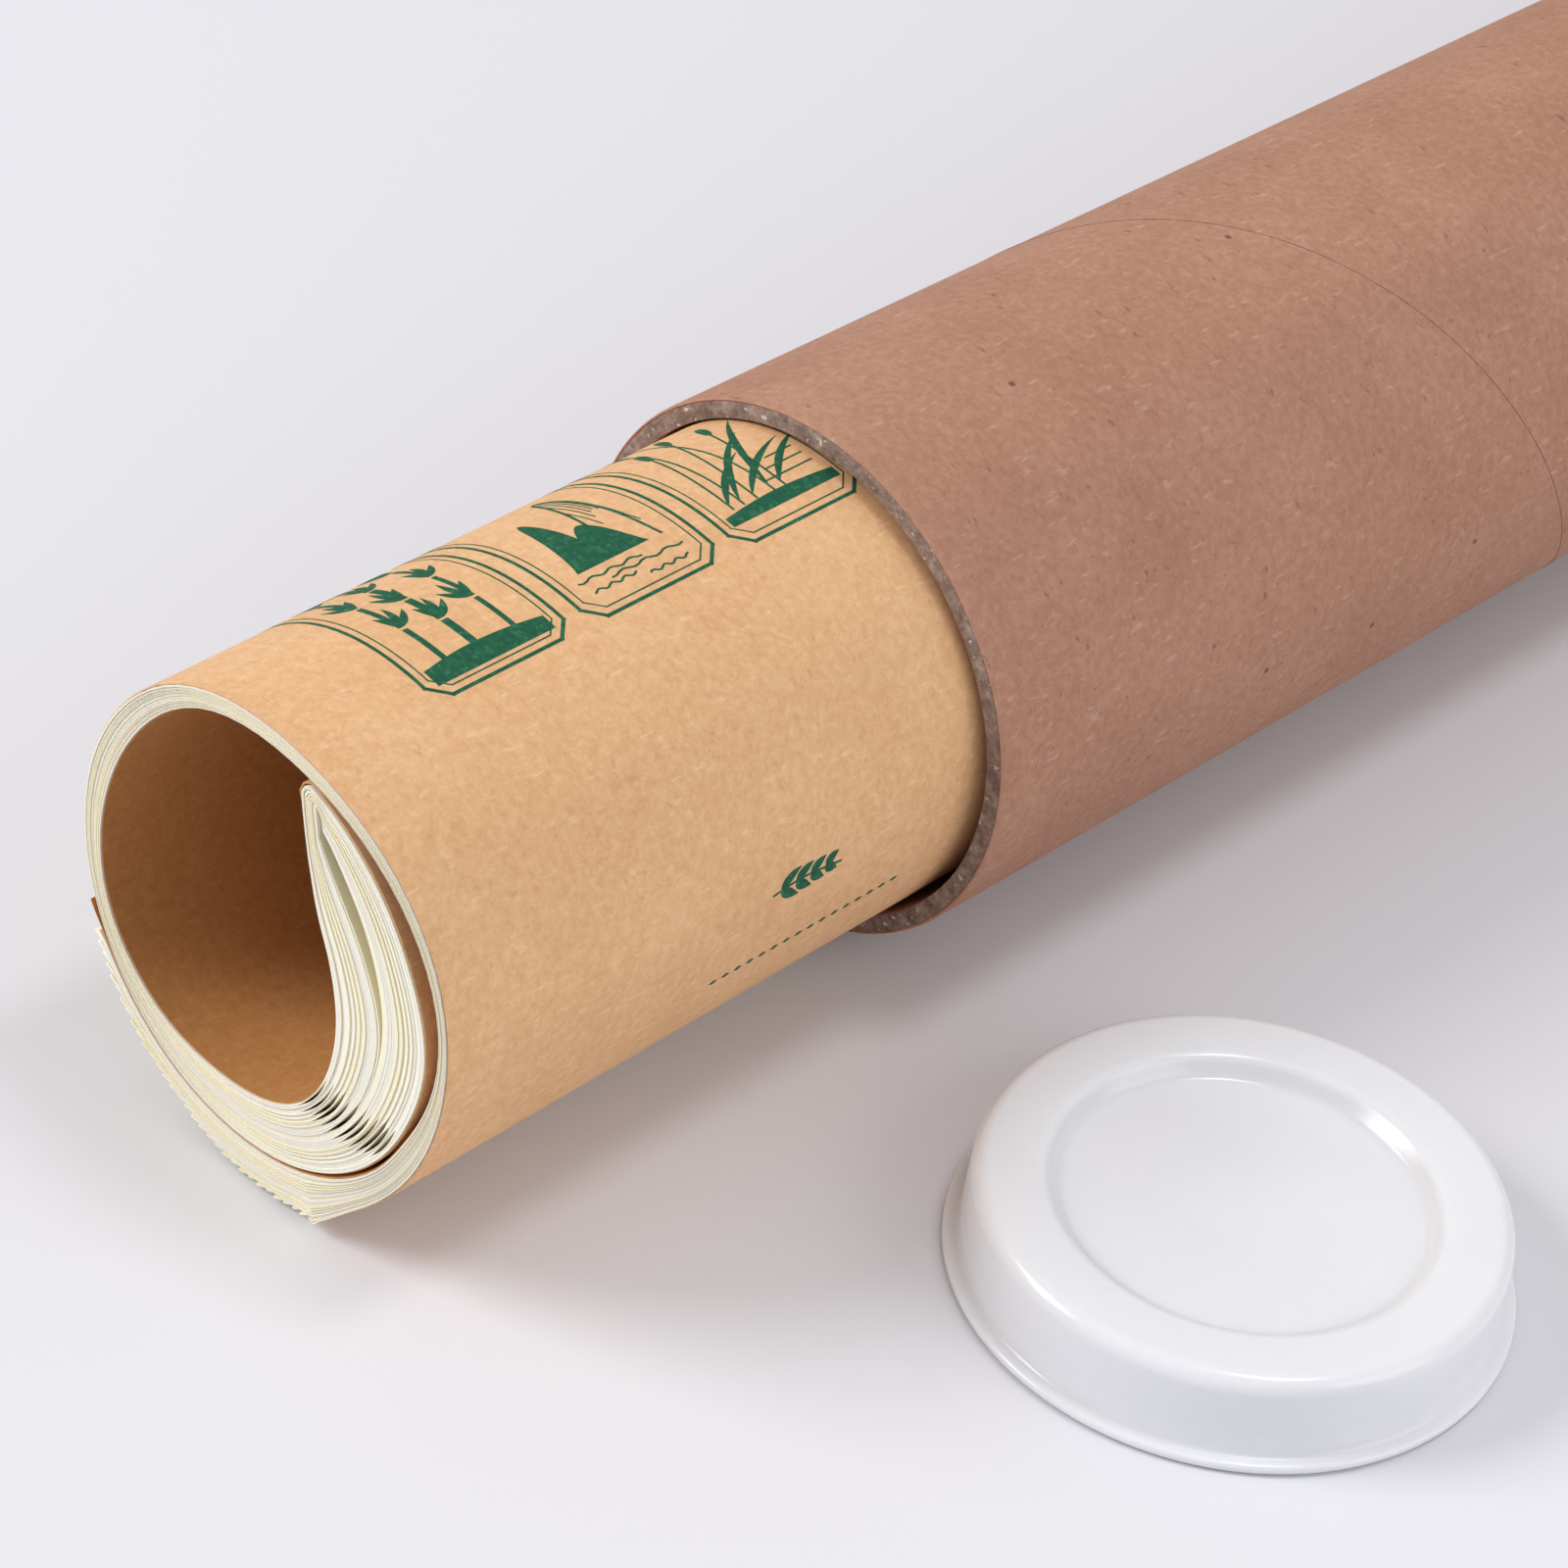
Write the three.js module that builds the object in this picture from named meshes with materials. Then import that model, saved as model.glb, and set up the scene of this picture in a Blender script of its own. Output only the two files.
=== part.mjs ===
// Mailing tube with two plastic end plugs and a rolled soft-cover book in it. Millimetres, +Z up.
// The tube lies along +Y. Its open mouth faces -Y, and the near plug lies beside it on +X.
import * as THREE from 'three';
import { mergeVertices } from 'three/addons/utils/BufferGeometryUtils.js';

// Tube
const TUBE_LENGTH = 450;
const TUBE_DIAMETER = 80;
const TUBE_WALL = 3.1;
const TUBE_EDGE_ROUND = 0.8;
const TUBE_SIDES = 96;

// End plug, measured from the outer face of its flange to its closed face
const PLUG_HEIGHT = 13.8;
const PLUG_DRAFT = 0.2;
const PLUG_SKIN = 1.1;
const PLUG_CORNER_RADIUS = 2.4;
const PLUG_CORNER_STEPS = 5;
const FLANGE_DIAMETER = 77.6;
const FLANGE_THICKNESS = 1.4;
const FLANGE_ROUND = 0.5;
const RECESS_RADIUS = 26.8;
const RECESS_FLOOR_RADIUS = 24.6;
const RECESS_DEPTH = 2.6;
const PLUG_SIDES = 72;

// Where the taken-off plug lies: its middle, from the tube's axis and from the mouth
const LOOSE_PLUG_ACROSS = 94.4;
const LOOSE_PLUG_BEFORE_MOUTH = 4.5;

// Rolled book
const BOOK_HEIGHT = 420;
const BOOK_PULLED_OUT = 96.5;
const COVER_THICKNESS = 0.3;
const ROLL_DROP_IN_TUBE = 0.2;
const ROLL_DROP_OUTSIDE = 1.1;
const LEAF_GROUPS = 12;
const FORE_EDGE_STEP = 0.3;
const SECTION_STEP_DEGREES = 7;

// Clearances
const PLUG_CLEARANCE = 0.2;
const SEAT_CLEARANCE = 0.3;
const ROLL_CLEARANCE = 0.3;
const SHEET_GAP = 0.2;

const boreRadius = TUBE_DIAMETER / 2 - TUBE_WALL;
const tubeAxisHeight = TUBE_DIAMETER / 2;
const degrees = Math.PI / 180;

// The roll springs open against the bore, so its section is drawn for this bore and scaled to the tube's.
const SECTION_BORE_RADIUS = 36.9;
const rollScale = boreRadius / SECTION_BORE_RADIUS;

// The roll's section, as [angle, radius] about the middle of the roll. The angle grows clockwise from the
// top, as seen from the mouth's side, and counts on past 360 where the book begins its second turn.
const BACK_FACE = [
  [18, 32.3], [36, 31.5], [60, 30.9], [84, 31.2], [110, 30.4], [140, 31.0], [170, 32.3], [210, 33.5],
  [250, 34.6], [300, 36.1], [330, 36.8], [372, 35.5], [415, 36.1], [455, 34.7], [480, 34.9], [502, 36.2],
  [511, 37.6], [520, 40.0],
];
const FRONT_FACE = [
  [9, 29.9], [20, 21.6], [36, 16.4], [60, 14.3], [88, 14.3], [120, 16.5], [163, 22.3], [195, 25.7],
  [222, 29.3], [250, 31.5], [286, 31.4], [305, 31.9], [337, 33.6], [372, 33.1], [415, 34.1], [436, 33.7],
  [471, 31.3], [490, 31.5], [512, 32.1], [530, 32.9], [565, 33.9], [590, 34.7], [608, 35.9],
];
const FORE_EDGE = [[521, 39.0], [545, 38.1], [563, 37.2], [586, 36.6], [601, 36.3]];

// The spine's fold, across and up from the middle of the roll
const FOLD = [[8.3, 31.7], [6.6, 31.9], [5.3, 31.1]];

// The slot between the two halves of the book: across, up and half its width
const MIDDLE_SLOT = [
  [8.1, 28.6, 0], [11.2, 23.5, 0.9], [15.4, 17.3, 1.1], [19.6, 10.5, 0.8], [22.2, 5.0, 0.4], [23.4, 0.5, 0],
];
const MIDDLE_SLOT_RISE = 0.65;

// The lens-shaped gaps where the fanned leaves bend: angle and radius of the first and the last, and the
// angle that they run along
const LEAF_GAP_COUNT = 9;
const LEAF_GAP_FIRST = [142, 20.4];
const LEAF_GAP_LAST = [125, 29.2];
const LEAF_GAP_LEAN = 217;
const LEAF_GAP_LENGTH = 5.2;
const LEAF_GAP_WIDTH = 0.55;

const KRAFT_BROWN = new THREE.MeshStandardMaterial({ color: '#b98d76', roughness: 0.95, metalness: 0 });
const COVER_TAN = new THREE.MeshStandardMaterial({ color: '#d9ab76', roughness: 0.85, metalness: 0 });
const PAGE_CREAM = new THREE.MeshStandardMaterial({ color: '#f1ebcb', roughness: 0.9, metalness: 0 });
const MILKY_PLASTIC = new THREE.MeshStandardMaterial({ color: '#eceef2', roughness: 0.25, metalness: 0 });

function solidGeometry(geometry) {
  const bare = geometry.clone();
  bare.deleteAttribute('normal');
  bare.deleteAttribute('uv');
  return mergeVertices(bare, 1e-4);
}

function namedMesh(name, geometry, material) {
  const mesh = new THREE.Mesh(geometry, material);
  mesh.name = name;
  return mesh;
}

// A smooth radius through [angle, radius] pairs of the section, with the slope at each from its two
// neighbours, in the roll's own scale.
function radiusThrough(pairs) {
  const slope = (i) => {
    const before = pairs[Math.max(i - 1, 0)];
    const after = pairs[Math.min(i + 1, pairs.length - 1)];
    return (after[1] - before[1]) / (after[0] - before[0]);
  };
  return (angle) => {
    let i = 0;
    while (i < pairs.length - 2 && angle > pairs[i + 1][0]) {
      i += 1;
    }
    const span = pairs[i + 1][0] - pairs[i][0];
    const t = THREE.MathUtils.clamp((angle - pairs[i][0]) / span, 0, 1);
    const start = pairs[i][1];
    const end = pairs[i + 1][1];
    const a = slope(i) * span - (end - start);
    const b = (end - start) - slope(i + 1) * span;
    return rollScale * (start + (end - start) * t + t * (1 - t) * ((1 - t) * a + t * b));
  };
}

function polar(angle, radius) {
  return new THREE.Vector2(radius * Math.sin(angle * degrees), radius * Math.cos(angle * degrees));
}

function facePoints(pairs) {
  const radius = radiusThrough(pairs);
  const first = pairs[0][0];
  const last = pairs[pairs.length - 1][0];
  const count = Math.ceil((last - first) / SECTION_STEP_DEGREES);
  const points = [];
  for (let i = 0; i <= count; i += 1) {
    const angle = THREE.MathUtils.lerp(first, last, i / count);
    points.push(polar(angle, radius(angle)));
  }
  return points;
}

// Moves a path sideways, to its left for a positive distance.
function offsetPath(points, distance) {
  return points.map((point, i) => {
    const before = points[Math.max(i - 1, 0)];
    const after = points[Math.min(i + 1, points.length - 1)];
    const along = after.clone().sub(before).normalize();
    return new THREE.Vector2(point.x - along.y * distance, point.y + along.x * distance);
  });
}

// The outside of the folded cover, from the loose edge of its back half, round the spine, to its front half.
const backFace = facePoints(BACK_FACE);
const frontFace = facePoints(FRONT_FACE);
const coverOutside = [
  ...backFace.slice().reverse(),
  ...FOLD.map(([across, up]) => new THREE.Vector2(across * rollScale, up * rollScale)),
  ...frontFace,
];
const coverInside = offsetPath(coverOutside, COVER_THICKNESS);
const pageSkin = offsetPath(coverOutside, COVER_THICKNESS + SHEET_GAP);

// The leaves end one after another on the fore-edge, the outermost first.
function foreEdgePoints() {
  const edge = radiusThrough(FORE_EDGE);
  const first = FORE_EDGE[0][0];
  const last = FORE_EDGE[FORE_EDGE.length - 1][0];
  const points = [];
  for (let leaf = 0; leaf < LEAF_GROUPS; leaf += 1) {
    const angle = THREE.MathUtils.lerp(first, last, leaf / (LEAF_GROUPS - 1));
    points.push(polar(angle, edge(angle)));
    points.push(polar(angle, edge(angle) - FORE_EDGE_STEP));
  }
  return points;
}

function slotHole() {
  const side = ([across, up, half], sign) => {
    const point = new THREE.Vector2(across + sign * half, up + sign * half * MIDDLE_SLOT_RISE);
    return point.multiplyScalar(rollScale);
  };
  const left = MIDDLE_SLOT.map((point) => side(point, -1));
  const right = MIDDLE_SLOT.slice(1, -1).map((point) => side(point, 1));
  return new THREE.Path([...left, ...right.reverse()]);
}

function leafGapHole(index) {
  const t = index / (LEAF_GAP_COUNT - 1);
  const angle = THREE.MathUtils.lerp(LEAF_GAP_FIRST[0], LEAF_GAP_LAST[0], t);
  const radius = THREE.MathUtils.lerp(LEAF_GAP_FIRST[1], LEAF_GAP_LAST[1], t);
  const middle = polar(angle, radius * rollScale);
  const along = polar(LEAF_GAP_LEAN, 1);
  const outward = polar(LEAF_GAP_LEAN - 90, 1);
  const at = (alongShare, outwardShare) => new THREE.Vector2()
    .copy(middle)
    .addScaledVector(along, alongShare * LEAF_GAP_LENGTH / 2)
    .addScaledVector(outward, outwardShare * LEAF_GAP_WIDTH / 2);
  return new THREE.Path([at(-1, 0), at(-0.3, 1), at(0.4, 1), at(1, 0), at(0.4, -1), at(-0.3, -1)]);
}

// How far the roll's outside reaches at an angle where it springs open in front of the mouth, and the
// reach that the bore leaves it.
const [frontEdgeAngle, frontEdgeRadius] = FRONT_FACE[FRONT_FACE.length - 1];
const frontEdge = [frontEdgeAngle, frontEdgeRadius + COVER_THICKNESS];
const outsideRadius = radiusThrough([...BACK_FACE, ...FORE_EDGE.slice(1), frontEdge]);

function openReach(angle) {
  const secondTurn = angle + 360;
  return outsideRadius(secondTurn <= frontEdgeAngle + 1 ? secondTurn : angle);
}

function boreReach(angle) {
  const room = boreRadius - ROLL_CLEARANCE;
  const side = ROLL_DROP_IN_TUBE * Math.sin(angle * degrees);
  return Math.sqrt(room ** 2 - side ** 2) + ROLL_DROP_IN_TUBE * Math.cos(angle * degrees);
}

// Lengthwise stations of the roll: its inner end, the mouth, then even steps to its outer end.
const OPEN_STEPS = 6;
const SQUEEZE_FROM = 31;
const squeezeFrom = SQUEEZE_FROM * rollScale;
const inTube = BOOK_HEIGHT - BOOK_PULLED_OUT;
const stations = [0];
for (let i = 0; i <= OPEN_STEPS; i += 1) {
  stations.push(inTube + BOOK_PULLED_OUT * i / OPEN_STEPS);
}

function rolledSolid(outline, holes) {
  const shape = new THREE.Shape(outline);
  shape.holes.push(...holes);
  const steps = stations.length - 1;
  const extruded = new THREE.ExtrudeGeometry(shape, { depth: steps, steps, bevelEnabled: false });
  const geometry = solidGeometry(extruded);
  const position = geometry.getAttribute('position');
  for (let i = 0; i < position.count; i += 1) {
    const across = position.getX(i);
    const up = position.getY(i);
    const along = stations[Math.round(position.getZ(i))];
    const squeeze = THREE.MathUtils.clamp((BOOK_HEIGHT - along) / BOOK_PULLED_OUT, 0, 1);
    const radius = Math.hypot(across, up);
    const angle = (Math.atan2(across, up) / degrees + 360) % 360;
    let share = 1;
    if (radius > squeezeFrom) {
      const open = openReach(angle);
      const excess = Math.max(0, open - boreReach(angle)) * squeeze;
      const squeezed = squeezeFrom + (radius - squeezeFrom) * (1 - excess / (open - squeezeFrom));
      share = squeezed / radius;
    }
    const drop = THREE.MathUtils.lerp(ROLL_DROP_OUTSIDE, ROLL_DROP_IN_TUBE, squeeze);
    position.setXYZ(i, across * share, up * share - drop, along);
  }
  geometry.rotateX(Math.PI / 2);
  return geometry;
}

function placeInTube(mesh) {
  mesh.position.set(0, inTube, tubeAxisHeight);
  return mesh;
}

function buildCover() {
  const outline = [...coverOutside, ...coverInside.slice().reverse()];
  return placeInTube(namedMesh('rolled_book_cover', rolledSolid(outline, []), COVER_TAN));
}

function buildPages() {
  const skin = pageSkin.slice(1, -1);
  const outline = [...skin, ...foreEdgePoints().reverse()];
  const holes = [slotHole()];
  for (let i = 0; i < LEAF_GAP_COUNT; i += 1) {
    holes.push(leafGapHole(i));
  }
  return placeInTube(namedMesh('rolled_book_pages', rolledSolid(outline, holes), PAGE_CREAM));
}

function buildTube() {
  const outer = TUBE_DIAMETER / 2;
  const round = TUBE_EDGE_ROUND;
  const profile = [
    [boreRadius, 0], [outer - round, 0], [outer - round * 0.3, round * 0.3], [outer, round],
    [outer, TUBE_LENGTH - round], [outer - round * 0.3, TUBE_LENGTH - round * 0.3],
    [outer - round, TUBE_LENGTH], [boreRadius, TUBE_LENGTH], [boreRadius, 0],
  ].map(([radius, along]) => new THREE.Vector2(radius, along));
  const geometry = solidGeometry(new THREE.LatheGeometry(profile, TUBE_SIDES));
  const mesh = namedMesh('tube', geometry, KRAFT_BROWN);
  mesh.position.z = tubeAxisHeight;
  return mesh;
}

// A quarter round from the side wall onto the closed face.
function cornerPoints(middleRadius, middleHeight, radius) {
  const points = [];
  for (let i = 0; i <= PLUG_CORNER_STEPS; i += 1) {
    const angle = i / PLUG_CORNER_STEPS * Math.PI / 2;
    points.push([middleRadius + radius * Math.cos(angle), middleHeight + radius * Math.sin(angle)]);
  }
  return points;
}

function plugGeometry() {
  const wallRadius = boreRadius - PLUG_CLEARANCE;
  const faceRadius = wallRadius - PLUG_DRAFT;
  const cornerMiddle = [faceRadius - PLUG_CORNER_RADIUS, PLUG_HEIGHT - PLUG_CORNER_RADIUS];
  const flange = FLANGE_DIAMETER / 2;
  const floorHeight = PLUG_HEIGHT - RECESS_DEPTH;
  const outside = [
    [flange - FLANGE_ROUND, 0], [flange, FLANGE_ROUND], [flange, FLANGE_THICKNESS - FLANGE_ROUND],
    [flange - FLANGE_ROUND, FLANGE_THICKNESS], [wallRadius, FLANGE_THICKNESS],
    ...cornerPoints(cornerMiddle[0], cornerMiddle[1], PLUG_CORNER_RADIUS),
    [RECESS_RADIUS, PLUG_HEIGHT], [RECESS_FLOOR_RADIUS, floorHeight], [0, floorHeight],
  ];
  const inside = [
    [wallRadius - PLUG_SKIN, 0],
    ...cornerPoints(cornerMiddle[0], cornerMiddle[1], PLUG_CORNER_RADIUS - PLUG_SKIN),
    [RECESS_RADIUS - PLUG_SKIN / 2, PLUG_HEIGHT - PLUG_SKIN],
    [RECESS_FLOOR_RADIUS - PLUG_SKIN / 2, floorHeight - PLUG_SKIN], [0, floorHeight - PLUG_SKIN],
  ];
  const profile = [...inside.reverse(), ...outside].map(([radius, along]) => new THREE.Vector2(radius, along));
  return solidGeometry(new THREE.LatheGeometry(profile, PLUG_SIDES));
}

function buildPlugs() {
  const near = namedMesh('near_end_cap', plugGeometry(), MILKY_PLASTIC);
  near.rotation.x = Math.PI / 2;
  near.position.set(LOOSE_PLUG_ACROSS, -LOOSE_PLUG_BEFORE_MOUTH, 0);
  const far = namedMesh('far_end_cap', plugGeometry(), MILKY_PLASTIC);
  far.rotation.z = Math.PI;
  far.position.set(0, TUBE_LENGTH + SEAT_CLEARANCE + FLANGE_THICKNESS, tubeAxisHeight);
  return [near, far];
}

const mailingTube = new THREE.Group();
mailingTube.add(buildTube(), ...buildPlugs(), buildCover(), buildPages());

// The origin is the middle of the part's footprint, on the table.
mailingTube.updateMatrixWorld(true);
const extent = new THREE.Box3().setFromObject(mailingTube, true);
mailingTube.position.set(
  -(extent.min.x + extent.max.x) / 2,
  -(extent.min.y + extent.max.y) / 2,
  -extent.min.z,
);
mailingTube.updateMatrixWorld(true);

export default mailingTube;
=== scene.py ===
import functools
import math
import random

import bpy
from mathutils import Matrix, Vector


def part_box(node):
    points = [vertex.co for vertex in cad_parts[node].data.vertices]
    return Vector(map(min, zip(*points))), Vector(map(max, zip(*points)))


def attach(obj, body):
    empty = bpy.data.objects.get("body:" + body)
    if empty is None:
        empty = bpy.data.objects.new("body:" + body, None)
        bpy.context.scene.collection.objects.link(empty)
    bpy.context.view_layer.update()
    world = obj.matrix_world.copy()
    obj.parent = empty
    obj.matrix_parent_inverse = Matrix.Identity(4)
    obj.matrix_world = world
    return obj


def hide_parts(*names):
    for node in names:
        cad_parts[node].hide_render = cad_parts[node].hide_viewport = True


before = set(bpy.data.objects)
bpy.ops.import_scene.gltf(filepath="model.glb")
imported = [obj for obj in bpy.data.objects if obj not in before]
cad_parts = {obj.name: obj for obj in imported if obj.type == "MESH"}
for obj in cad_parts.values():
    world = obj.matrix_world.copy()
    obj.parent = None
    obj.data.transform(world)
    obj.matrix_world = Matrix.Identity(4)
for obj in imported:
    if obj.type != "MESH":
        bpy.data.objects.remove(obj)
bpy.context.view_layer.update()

MM = 0.001
TAU = 2 * math.pi

# Where the tube lies: its axis runs along +Y, and its mouth faces -Y.
tube_low, tube_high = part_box("tube")
AXIS_X = (tube_low.x + tube_high.x) / 2
AXIS_Z = (tube_low.z + tube_high.z) / 2
MOUTH_Y = tube_low.y
FAR_Y = tube_high.y
TUBE_LENGTH = FAR_Y - MOUTH_Y
TUBE_RADIUS = (tube_high.x - tube_low.x) / 2
TUBE_WALL = 3.1 * MM
BORE_RADIUS = TUBE_RADIUS - TUBE_WALL

# Camera, solved so that the tube's outline, its mouth, the roll's end and the loose plug all agree
CAMERA_FROM_MOUTH = (0.3644, -0.44155, 0.46725)
CAMERA_TURN = (0.9024, -0.1169, 0.7787)

camera_data = bpy.data.cameras.new("photo_camera")
camera_data.sensor_width = 36
camera_data.lens = 118.1
camera_data.clip_start = 0.01
camera = bpy.data.objects.new("photo_camera", camera_data)
camera.location = (
    AXIS_X + CAMERA_FROM_MOUTH[0], MOUTH_Y + CAMERA_FROM_MOUTH[1], CAMERA_FROM_MOUTH[2])
camera.rotation_euler = CAMERA_TURN
bpy.context.scene.collection.objects.link(camera)
bpy.context.scene.camera = camera


# Materials

def linear(hex_colour):
    """An sRGB hex colour as the linear colour that a node takes."""
    channels = [int(hex_colour[i:i + 2], 16) / 255 for i in (1, 3, 5)]
    return tuple(
        c / 12.92 if c <= 0.04045 else ((c + 0.055) / 1.055) ** 2.4 for c in channels) + (1,)


def node(tree, kind, settings=None, links=None, stops=()):
    """Adds a node. Settings are its own values or its sockets', and links are what feeds its
    sockets: a socket, or a node for its first one. A number stands for a socket's place. Stops are
    a colour ramp's, as (place, colour or grey)."""
    added = tree.nodes.new(kind)
    for name, value in (settings or {}).items():
        value = linear(value) if str(value).startswith("#") else value
        if isinstance(name, int) or name in added.inputs:
            added.inputs[name].default_value = value
        else:
            setattr(added, name, value)
    for socket, source in (links or {}).items():
        source = source.outputs[0] if isinstance(source, bpy.types.Node) else source
        tree.links.new(source, added.inputs[socket])
    if stops:
        elements = added.color_ramp.elements
        while len(elements) < len(stops):
            elements.new(0.5)
        for element, (place, colour) in zip(elements, stops):
            element.position = place
            grey = (colour, colour, colour, 1)
            element.color = linear(colour) if isinstance(colour, str) else grey
    return added


def material(name):
    """A material with nothing in it yet, its node tree, and where a point lies on its piece."""
    made = bpy.data.materials.new(name)
    made.use_nodes = True
    made.node_tree.nodes.clear()
    place = node(made.node_tree, "ShaderNodeTexCoord").outputs["Object"]
    return made, made.node_tree, place


def blotches(size):
    """The scale of a noise whose blotches are about so many metres across."""
    return 0.5 / size


def kraft(name, light, middle, dark, fibre_light, fibre_dark, fibre_share, mottle):
    """Kraft paper, pressed from long brown wood fibres on a wire: a dull, slightly cloudy surface,
    with loose lighter and darker fibres on it."""
    made, tree, place = material(name)
    # Clouds of about 9 mm. The grain of single fibres, 0.03 mm, is too fine to show: it is drawn
    # 0.7 mm wide
    clouds = node(tree, "ShaderNodeTexNoise", {
        "Scale": blotches(9 * MM), "Detail": 4, "Roughness": 0.55}, {"Vector": place})
    grain = node(tree, "ShaderNodeTexNoise", {
        "Scale": blotches(0.7 * MM), "Detail": 4, "Roughness": 0.75}, {"Vector": place})
    cloud_share = node(
        tree, "ShaderNodeMath", {"operation": "MULTIPLY", 1: mottle}, {0: clouds})
    grain_share = node(
        tree, "ShaderNodeMath", {"operation": "MULTIPLY", 1: 1 - mottle}, {0: grain})
    cloudy = node(
        tree, "ShaderNodeMath", {"operation": "ADD"}, {0: cloud_share, 1: grain_share})
    colour = node(
        tree, "ShaderNodeValToRGB", links={"Fac": cloudy},
        stops=[(0.3, dark), (0.5, middle), (0.7, light)])
    # Loose fibres 2 mm long: the light ones lie along the tube, and the dark ones across it
    for direction, width, low, high, fibre in (
            ((1, 0.28, 1), 0.55 * MM, 0.63, 0.72, fibre_light),
            ((0.35, 1, 0.8), 0.7 * MM, 0.66, 0.75, fibre_dark)):
        stretched = node(
            tree, "ShaderNodeVectorMath", {"operation": "MULTIPLY", 1: direction}, {0: place})
        streaks = node(tree, "ShaderNodeTexNoise", {
            "Scale": blotches(width), "Detail": 2, "Roughness": 0.6}, {"Vector": stretched})
        fibres = node(
            tree, "ShaderNodeValToRGB", links={"Fac": streaks},
            stops=[(low, 0.0), (high, fibre_share)])
        colour = node(
            tree, "ShaderNodeMix", {"data_type": "RGBA", 7: fibre},
            {0: fibres, 6: colour}).outputs[2]
    return made, tree, place, colour, grain


def tube_paper():
    """Recycled brown kraft, wound wet onto the tube: pinkish brown, with specks of bark and old
    ink."""
    made, tree, place, colour, grain = kraft(
        "wound_recycled_kraft", light="#b98f79", middle="#ab7f69", dark="#9c715b",
        fibre_light="#c4a08c", fibre_dark="#6c4838", fibre_share=0.5, mottle=0.3)
    # Specks about 1 mm across, in one of fourteen cells 6.7 mm wide
    cells = node(tree, "ShaderNodeTexVoronoi", {
        "Scale": 1 / (20 / 3 * MM), "Randomness": 1.0}, {"Vector": place})
    chance = node(tree, "ShaderNodeSeparateColor", links={0: cells.outputs["Color"]})
    chosen = node(
        tree, "ShaderNodeMath", {"operation": "GREATER_THAN", 1: 0.93}, {0: chance})
    near = node(
        tree, "ShaderNodeValToRGB", links={"Fac": cells.outputs["Distance"]},
        stops=[(0.05, 0.8), (0.1, 0.0)])
    specks = node(tree, "ShaderNodeMath", {"operation": "MULTIPLY"}, {0: chosen, 1: near})
    colour = node(
        tree, "ShaderNodeMix", {"data_type": "RGBA", 7: "#5d4236"}, {0: specks, 6: colour})
    relief = node(
        tree, "ShaderNodeBump", {"Strength": 0.6, "Distance": 0.06 * MM}, {"Height": grain})
    shader = node(
        tree, "ShaderNodeBsdfPrincipled", {"Roughness": 0.86, "Specular IOR Level": 0.25},
        {"Base Color": colour.outputs[2], "Normal": relief})
    node(tree, "ShaderNodeOutputMaterial", links={"Surface": shader})
    return made


def seam_edge_shade():
    """The cut edge of the tube's kraft wrap, painted dark brown as the shade along its lapped step.
    """
    made, tree, place = material("kraft_edge_painted_shade")
    # Blotches about 1.2 mm wide: uneven painted shade, and the edge's relief
    wear_and_shade = node(tree, "ShaderNodeTexNoise", {
        "Scale": blotches(1.2 * MM), "Detail": 3, "Roughness": 0.7}, {"Vector": place})
    # Painted shade: two dark browns stand in for the shadow along the wrap's lapped edge
    colour = node(
        tree, "ShaderNodeValToRGB", links={"Fac": wear_and_shade},
        stops=[(0.35, "#5a3b2d"), (0.6, "#8a6350")])
    relief = node(
        tree, "ShaderNodeBump", {"Strength": 1.0, "Distance": 0.05 * MM}, {"Height": wear_and_shade})
    shader = node(
        tree, "ShaderNodeBsdfPrincipled", {"Roughness": 0.9},
        {"Base Color": colour, "Normal": relief})
    node(tree, "ShaderNodeOutputMaterial", links={"Surface": shader})
    return made


def tube_board():
    """Grey chipboard, the recycled core of the tube, cut with a saw: coarse grey-brown clumps of
    fibre about 1 mm across, with pale flecks of half that."""
    made, tree, place = material("sawn_grey_chipboard")
    clumps = node(tree, "ShaderNodeTexNoise", {
        "Scale": blotches(0.9 * MM), "Detail": 4, "Roughness": 0.7}, {"Vector": place})
    colour = node(
        tree, "ShaderNodeValToRGB", links={"Fac": clumps},
        stops=[(0.3, "#6c5950"), (0.5, "#8e7a6f"), (0.68, "#ab988d")])
    spots = node(tree, "ShaderNodeTexNoise", {
        "Scale": blotches(0.55 * MM), "Detail": 1, "Roughness": 0.55}, {"Vector": place})
    flecks = node(
        tree, "ShaderNodeValToRGB", links={"Fac": spots}, stops=[(0.68, 0.0), (0.75, 0.9)])
    colour = node(
        tree, "ShaderNodeMix", {"data_type": "RGBA", 7: "#d8cfc9"}, {0: flecks, 6: colour})
    relief = node(
        tree, "ShaderNodeBump", {"Strength": 1.0, "Distance": 0.35 * MM}, {"Height": clumps})
    shader = node(
        tree, "ShaderNodeBsdfPrincipled", {"Roughness": 0.95, "Specular IOR Level": 0.15},
        {"Base Color": colour.outputs[2], "Normal": relief})
    node(tree, "ShaderNodeOutputMaterial", links={"Surface": shader})
    return made


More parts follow.
